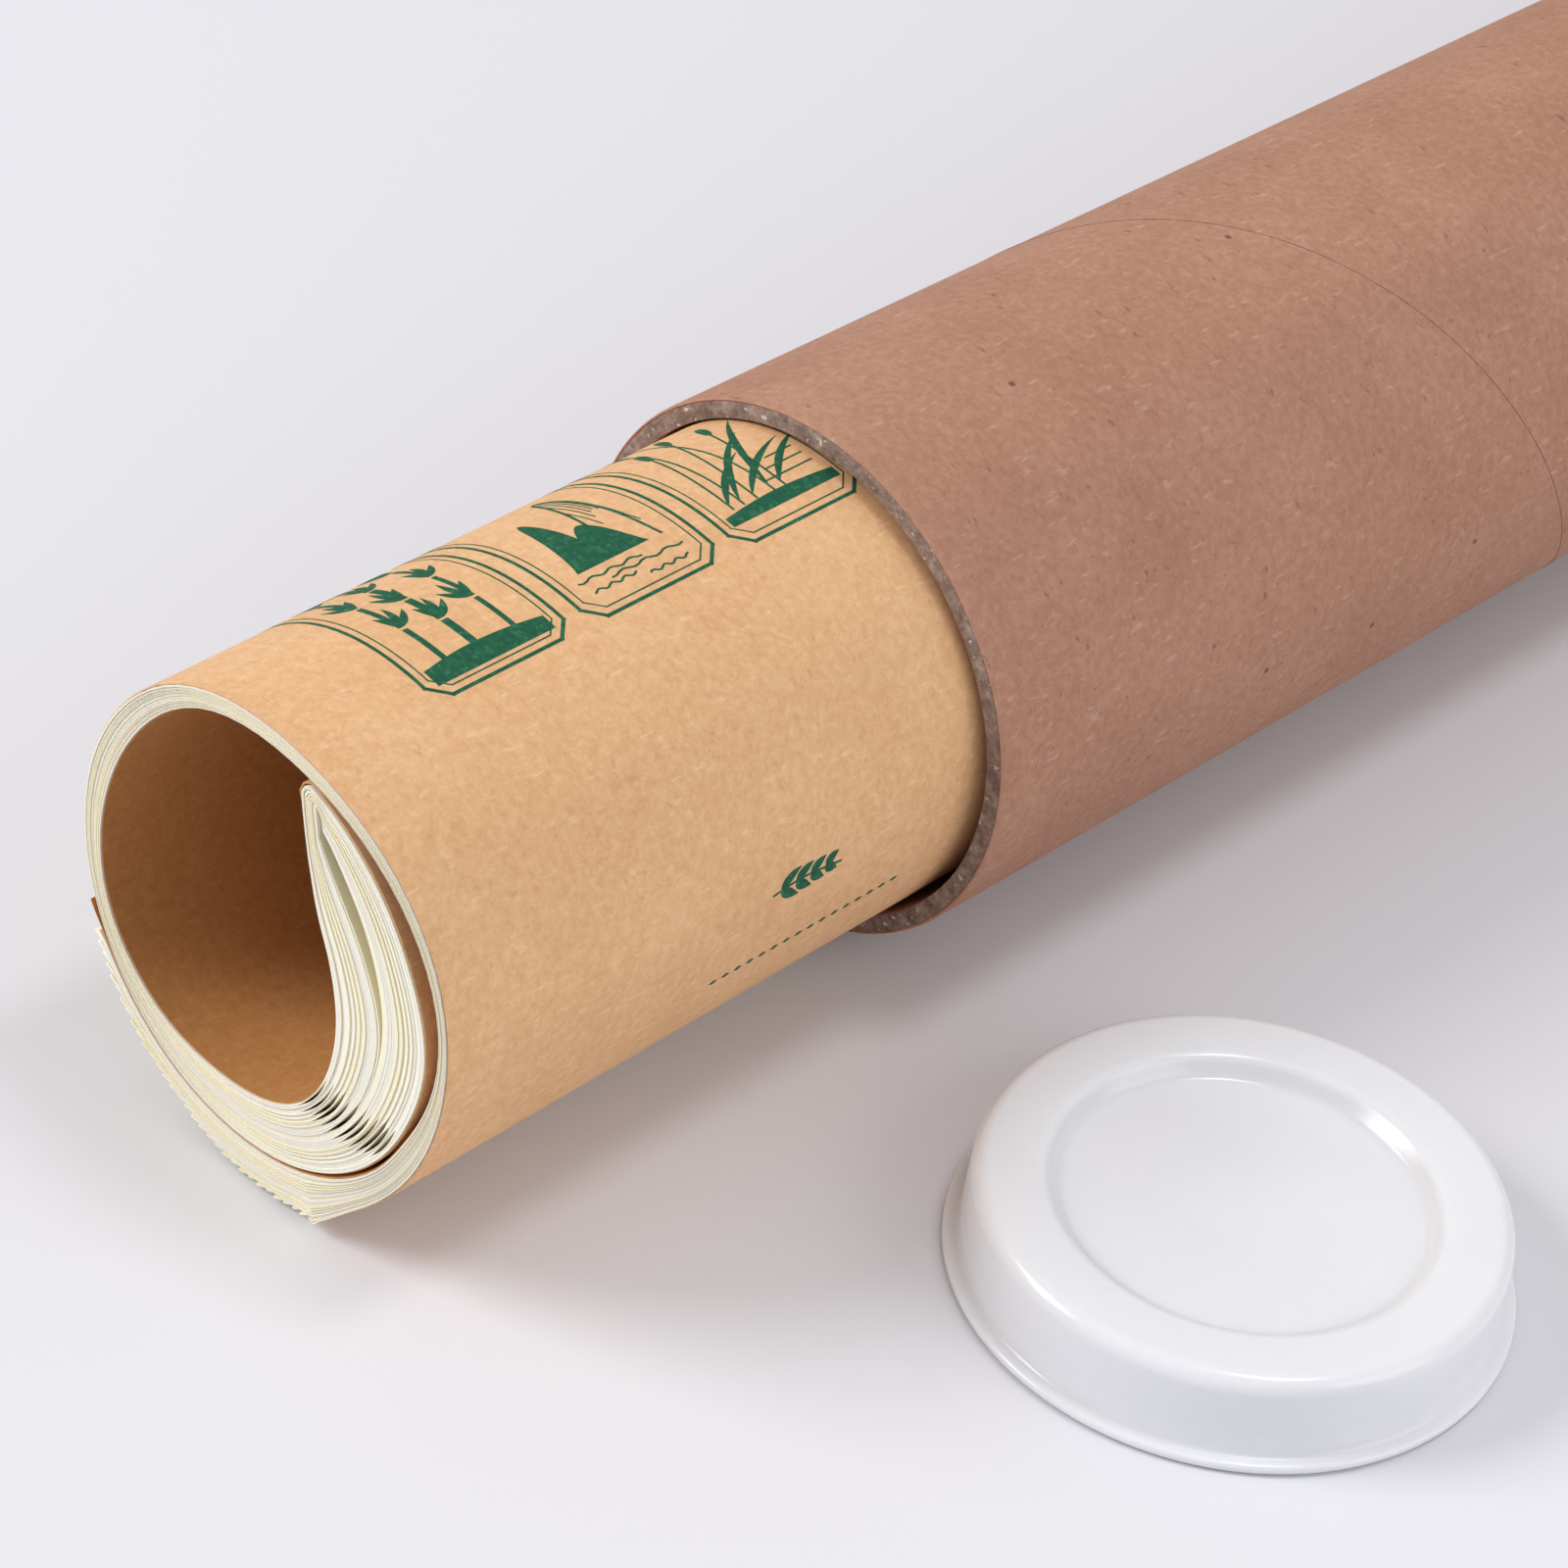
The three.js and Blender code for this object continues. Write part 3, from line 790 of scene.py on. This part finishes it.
@functools.cache
def leaf_edges(angle):
    """The inner and outer radius of every leaf at an angle of the section."""
    inner = front_radius(angle) + COVER_THICKNESS + LEAF_CLEARANCE
    outer = edge_radius(angle)
    if angle <= BACK_COVER_END_ANGLE:
        outer = back_radius(angle) - COVER_THICKNESS - LEAF_CLEARANCE
    room = max(outer - inner, 0.2) * LEAVES / leaf_count_at(angle)
    slot = slot_width(max(angle, SLOT_WIDTH[0][0])) if angle < SLOT_END_ANGLE else 0.0
    scale = (room - slot) / sum(leaf_weight)
    pitch = (room - slot) / LEAVES
    half_gaps = [gap_before(i, angle, pitch) / 2 for i in range(LEAVES + 1)]
    half_gaps[0] = half_gaps[LEAVES] = 0.0
    edges = []
    at = inner
    for i in range(LEAVES):
        if i == SHEETS:
            at += slot
        thick = leaf_weight[i] * scale
        air = half_gaps[i] + half_gaps[i + 1]
        # However wide its gaps, a leaf keeps an eighth of its thickness
        ease = min(1.0, 0.88 * thick / air) if air > 0 else 1.0
        edges.append((at + half_gaps[i] * ease, at + thick - half_gaps[i + 1] * ease))
        at += thick
    return edges


def leaf_angles(first, last):
    """Angles along a leaf, closest together where it bends most."""
    angles = [first]
    while angles[-1] < last - 0.5:
        here = angles[-1]
        angles.append(min(last, here + (2.2 if here < 40 else 3 if here < 165 else 5)))
    return angles


def leaf_paths(leaf):
    """The inner and outer path of a leaf, from the fold to its sprung end."""
    last = leaf_end_angle(leaf)
    bare = last - BARE_REACH
    inner, outer = [], []
    for angle in leaf_angles(LEAVES_START_ANGLE, bare) + [bare + BARE_REACH / 2, last]:
        low, high = leaf_edges(round(angle, 3))[leaf]
        lift = END_LIFT * max(0.0, (angle - bare) / BARE_REACH)
        inner.append(polar(angle, low + 0.7 * lift))
        outer.append(polar(angle, high + lift))
    return inner, outer


def fold_curve(share):
    """A sheet's turn over the fold, from the outermost sheet's at 0 to the innermost's at 1."""
    return [(a[0] + (b[0] - a[0]) * share, a[1] + (b[1] - a[1]) * share)
            for a, b in zip(OUTERMOST_FOLD, INNERMOST_FOLD)]


def build_pages():
    vertices, faces = [], []
    leaf_value, depth_value = [], []
    inset = random.Random(4)
    for sheet in range(SHEETS):
        back_inner, back_outer = leaf_paths(LEAVES - 1 - sheet)
        front_inner, front_outer = leaf_paths(sheet)
        share = sheet / SHEETS
        # Along the sheet: the back leaf from its fore-edge to the fold, then the front leaf
        left = back_outer[::-1] + fold_curve(share) + front_inner
        right = back_inner[::-1] + fold_curve(share + 0.8 / SHEETS) + front_outer
        ribbon(vertices, faces, left, right, inset.uniform(0, 0.4), inset.uniform(0, 0.35))
        tone = inset.random()
        for _ in ROLL_STATIONS:
            leaf_value += [tone] * (len(left) + len(right))
            depth_value += [0.0] * len(left) + [3.0] * len(right)
    piece = mesh_piece(
        "cream_book_leaves", vertices, faces, [PAGES], "tube_with_book",
        ["rolled_book_pages"])
    set_point_values(piece, "leaf", leaf_value)
    set_point_values(piece, "depth", depth_value)


# The print: a generic design in one green. A place on it is (along, round) in millimetres: along
# from the roll's outer end towards the mouth, and round from the top of the roll towards +X.

INK_ABOVE = 0.03
INK_BELOW = -0.05
PRINT_RADIUS = 36.0
# The longest step between two points across a band and along a line, so that both follow the roll
LANE_WIDTH = 1.2
LINE_STEP = 1.3


def between(start, end, share):
    return (start[0] + (end[0] - start[0]) * share, start[1] + (end[1] - start[1]) * share)


def on_cover(place, height):
    along, round_ = place
    angle = math.degrees(round_ / PRINT_RADIUS)
    across, up = polar(angle, back_radius(angle + 360) + height)
    return roll_place(across, up, BOOK_HEIGHT - along)


class Print:
    """Gathers thin printed shapes into one mesh. Each is a closed sheet that follows the cover."""

    def __init__(self):
        self.vertices = []
        self.faces = []

    def band(self, left, right):
        """Fills the space between two lines of the same number of places."""
        widest = max(math.dist(a, b) for a, b in zip(left, right))
        lanes = max(1, math.ceil(widest / LANE_WIDTH))
        base = len(self.vertices)
        row = lanes + 1
        for height in (INK_ABOVE, INK_BELOW):
            for a, b in zip(left, right):
                for lane in range(row):
                    self.vertices.append(on_cover(between(a, b, lane / lanes), height))
        under = base + len(left) * row
        last = len(left) - 1
        for i in range(last):
            for lane in range(lanes):
                a, b = i * row + lane, (i + 1) * row + lane
                self.faces.append((base + a, base + a + 1, base + b + 1, base + b))
                self.faces.append((under + a, under + b, under + b + 1, under + a + 1))
            for lane, turn in ((0, False), (lanes, True)):
                a, b = i * row + lane, (i + 1) * row + lane
                side = (base + a, base + b, under + b, under + a)
                self.faces.append(side[::-1] if turn else side)
        for i, turn in ((0, True), (last, False)):
            for lane in range(lanes):
                a = i * row + lane
                side = (base + a, base + a + 1, under + a + 1, under + a)
                self.faces.append(side[::-1] if turn else side)

    def line(self, places, width, taper=None):
        """A line of a width in millimetres. taper(share) varies its width along its way."""
        dense = [places[0]]
        for a, b in zip(places, places[1:]):
            steps = max(1, math.ceil(math.dist(a, b) / LINE_STEP))
            dense += [between(a, b, k / steps) for k in range(1, steps + 1)]
        left, right = [], []
        for i, (place, side) in enumerate(zip(dense, offset(dense, 1.0))):
            half = width / 2 * (taper(i / (len(dense) - 1)) if taper else 1)
            step = (side[0] - place[0], side[1] - place[1])
            left.append((place[0] + step[0] * half, place[1] + step[1] * half))
            right.append((place[0] - step[0] * half, place[1] - step[1] * half))
        self.band(left, right)

    def frame(self, low, high, width, cut):
        """A rectangular frame with its corners cut off."""
        (a, b), (c, d) = low, high
        corners = [
            (a + cut, b), (c - cut, b), (c, b + cut), (c, d - cut), (c - cut, d), (a + cut, d),
            (a, d - cut), (a, b + cut)]
        for first, second in zip(corners, corners[1:] + corners[:1]):
            # Each side runs on by half the line's width, so that the corners close
            grow = (width / 2) / max(math.dist(first, second), 0.01)
            run, rise = (second[0] - first[0]) * grow, (second[1] - first[1]) * grow
            self.line(
                [(first[0] - run, first[1] - rise), (second[0] + run, second[1] + rise)], width)

    def leaf(self, root, heading, length, width, bend=0.25):
        """A pointed leaf from its root, with a heading in degrees from the along direction."""
        places = []
        for k in range(9):
            share = k / 8
            turn = math.radians(heading) + bend * share
            reach = length * share
            places.append((root[0] + reach * math.cos(turn), root[1] + reach * math.sin(turn)))
        self.line(places, width, lambda share: max(
            0.06, math.sin(math.pi * share ** 0.8) ** 0.9))


def canes(ink, left, right, low, high):
    """Canes with leaves, rising from a bank."""
    span = right - left
    bank = [(left + span * k / 12, low) for k in range(13)]
    crest = [(p[0], low - 2.2 - 1.6 * math.sin(2.4 * k / 12 + 0.5)) for k, p in enumerate(bank)]
    ink.band(bank, crest)
    joints = 5
    # Each cane's place along the panel, its share of the panel's height and its width
    for place, top, width in ((0.2, 0.98, 0.9), (0.46, 0.8, 1.25), (0.78, 0.93, 0.8)):
        foot = left + span * place
        lean = 0.03 * (place - 0.4)
        reach = (low - high) * top - 3
        for k in range(joints):
            a, b = low - 3 - reach * k / joints, low - 3 - reach * (k + 0.93) / joints
            ink.line([(foot + lean * (low - a), a), (foot + lean * (low - b), b)], width)
            side = 1 if (k + int(place * 10)) % 2 else -1
            # Each joint but the lowest one has three leaves, as (heading, length)
            for heading, length in ((-62, 5.6), (-34, 4.6), (-95, 4.2)) if k else ():
                turned = 180 - heading if side < 0 else heading
                ink.leaf((foot, a), turned, length, 1.15, -0.25 * side)


def hills(ink, left, right, low, high):
    """Hills behind water, under a sun."""
    span = right - left
    # Each hill's place along the panel, its height, its share of the panel's width, and if it is
    # filled with ink
    for peak, tall, wide, full in (
            (0.3, 15, 0.34, True), (0.7, 21, 0.38, False), (0.52, 8.5, 0.5, True)):
        base, crest = [], []
        for k in range(25):
            share = k / 24
            place = left + span * (peak - wide / 2 + wide * share)
            if left + 0.4 <= place <= right - 0.4:
                base.append((place, low - 6))
                crest.append((place, low - 6 - tall * math.sin(math.pi * share) ** 1.4))
        if full:
            ink.band(base, crest)
        else:
            ink.line(crest, 0.45)
            for k in range(4, len(crest) - 4, 2):
                foot = (crest[k][0] + 1.2, (crest[k][1] + low - 6) / 2)
                ink.line([crest[k], foot], 0.22)
    # Ripples, each from one share of the panel's width to another
    for k, (start, end) in enumerate(((0.06, 0.62), (0.3, 0.94), (0.1, 0.48), (0.55, 0.9))):
        row = low - 4.4 + 1.15 * k
        ink.line([
            (left + span * (start + (end - start) * j / 16), row + 0.28 * math.sin(j * 1.3 + k))
            for j in range(17)], 0.32)
    across, height, radius = left + span * 0.28, high + 8, 3.2
    ink.line([
        (across + radius * math.cos(TAU * k / 20), height + radius * math.sin(TAU * k / 20))
        for k in range(21)], 0.4)


def reeds(ink, left, right, low, high):
    """Reeds and a still pool."""
    span = right - left
    # Each reed's place along the panel, its height and its lean
    for place, reach, lean in (
            (0.12, 22, 3), (0.22, 30, 1.5), (0.34, 25, 5), (0.5, 34, -2), (0.6, 21, 4)):
        foot = left + span * place
        stem = [(foot + lean * (k / 10) ** 2, low - 4 - reach * k / 10) for k in range(11)]
        ink.line(stem, 0.34)
        ink.line(
            [stem[8], stem[10]], 1.5, lambda share: 0.55 + 0.45 * math.sin(math.pi * share))
        ink.leaf((foot, low - 5), -70 + lean * 4, reach * 0.6, 1.1, 0.3)
    pool = [(left + span * k / 16, low - 3.2 - 0.8 * math.sin(math.pi * k / 16))
            for k in range(17)]
    ink.band([(p[0], low - 1.4) for p in pool], pool)
    for k in range(3):
        row = low - 6 - 2 * k
        ink.line([(left + span * (0.5 + 0.1 * k), row), (left + span * 0.95, row)], 0.3)


def sprig(ink, along, round_):
    """A small stem with four pairs of leaves."""
    ink.line([(along + 1.3 * k, round_ - 0.5 * math.sin(k * 0.4)) for k in range(11)], 0.4)
    for k in range(4):
        root = (along + 1.5 + 2.8 * k, round_ - 0.4)
        ink.leaf(root, -48, 4.2 - 0.5 * k, 1.7)
        ink.leaf(root, 48, 4.2 - 0.5 * k, 1.7, -0.25)


PANELS = ((21, 45), (48, 72), (75, 99))
MOTIFS = (canes, hills, reeds)
PANEL_ROWS = 2
PANEL_ROW_PITCH = 62
PANEL_ROUND = (7.0, -45.0)
SPRIG_PLACE = (58, 54)
LOZENGES = 16
LOZENGE_START = 50
LOZENGE_PITCH = 2.3
LOZENGE_ROUND = 66


def build_print():
    ink = Print()
    for row in range(PANEL_ROWS):
        low, high = (edge - PANEL_ROW_PITCH * row for edge in PANEL_ROUND)
        for number, (left, right) in enumerate(PANELS):
            motif = MOTIFS[(number + row) % len(MOTIFS)]
            ink.frame((left, high), (right, low), 0.55, 2.6)
            ink.frame((left + 1.3, high + 1.3), (right - 1.3, low - 1.3), 0.22, 2.2)
            motif(ink, left + 1.9, right - 1.9, low - 2.0, high + 3.0)
    sprig(ink, *SPRIG_PLACE)
    for k in range(LOZENGES):
        middle = LOZENGE_START + LOZENGE_PITCH * k
        ink.line(
            [(middle - 0.75, LOZENGE_ROUND), (middle + 0.75, LOZENGE_ROUND)], 0.9,
            lambda share: max(0.1, 1 - abs(2 * share - 1)))
    mesh_piece(
        "green_cover_print", ink.vertices, ink.faces, [INK], "tube_with_book",
        sharp=30)


build_tube()
near_low, near_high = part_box("near_end_cap")
near_middle = (near_low + near_high) / 2
build_plug(
    "loose_end_plug", "near_end_cap", "tube_with_book",
    lambda radius, height, turn: (
        near_middle.x + radius * math.sin(turn), near_middle.y - radius * math.cos(turn),
        near_low.z + height))
far_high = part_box("far_end_cap")[1]
build_plug(
    "fitted_end_plug", "far_end_cap", "far_plug",
    lambda radius, height, turn: (
        AXIS_X + radius * math.sin(turn), far_high.y - height, AXIS_Z + radius * math.cos(turn)))
build_cover()
build_print()
build_pages()


# Floor, light and world

FLOOR_HALF = 4.0
FLOOR_DROP = 0.3 * MM
LAMP_TARGET = (0, 0, 0.03)
# Each lamp's name, place, width and power
LAMPS = (
    ("left_softbox", (-1.5, -1.6, 1.45), 1.3, 40.0),
    ("right_fill", (1.75, 0.35, 1.0), 1.6, 12.0),
    ("overhead_lamp", (0.25, 0.05, 1.5), 0.35, 4.0),
)


def floor_paper():
    """The studio's background paper, rolled out flat: pale, matt and nearly even, with faint
    patches 400 mm wide."""
    made, tree, place = material("pale_studio_ground")
    patches = node(tree, "ShaderNodeTexNoise", {
        "Scale": blotches(400 * MM), "Detail": 2, "Roughness": 0.55}, {"Vector": place})
    colour = node(
        tree, "ShaderNodeValToRGB", links={"Fac": patches},
        stops=[(0.3, "#dddde2"), (0.7, "#e0e0e5")])
    shader = node(
        tree, "ShaderNodeBsdfPrincipled", {"Roughness": 0.9, "Specular IOR Level": 0.1},
        {"Base Color": colour})
    node(tree, "ShaderNodeOutputMaterial", links={"Surface": shader})
    return made


def build_floor():
    data = bpy.data.meshes.new("ground")
    corners = [(x * FLOOR_HALF, y * FLOOR_HALF, 0) for x, y in ((-1, -1), (1, -1), (1, 1), (-1, 1))]
    data.from_pydata(corners, [], [(0, 1, 2, 3)])
    data.materials.append(floor_paper())
    ground = bpy.data.objects.new("ground", data)
    ground.location.z = -FLOOR_DROP
    bpy.context.scene.collection.objects.link(ground)


def area_lamp(name, place, width, power):
    data = bpy.data.lights.new(name, "AREA")
    data.shape = "DISK"
    data.size = width
    data.energy = power
    lamp = bpy.data.objects.new(name, data)
    lamp.location = place
    aim = Vector(LAMP_TARGET) - Vector(place)
    lamp.rotation_euler = aim.to_track_quat("-Z", "Y").to_euler()
    bpy.context.scene.collection.objects.link(lamp)


build_floor()
for lamp_values in LAMPS:
    area_lamp(*lamp_values)

world = bpy.data.worlds.new("studio")
bpy.context.scene.world = world
world.use_nodes = True
world.node_tree.nodes.clear()
sky = node(world.node_tree, "ShaderNodeBackground", {"Color": "#fbfafc", "Strength": 0.54})
node(world.node_tree, "ShaderNodeOutputWorld", links={"Surface": sky})
bpy.context.scene.view_settings.view_transform = "Standard"
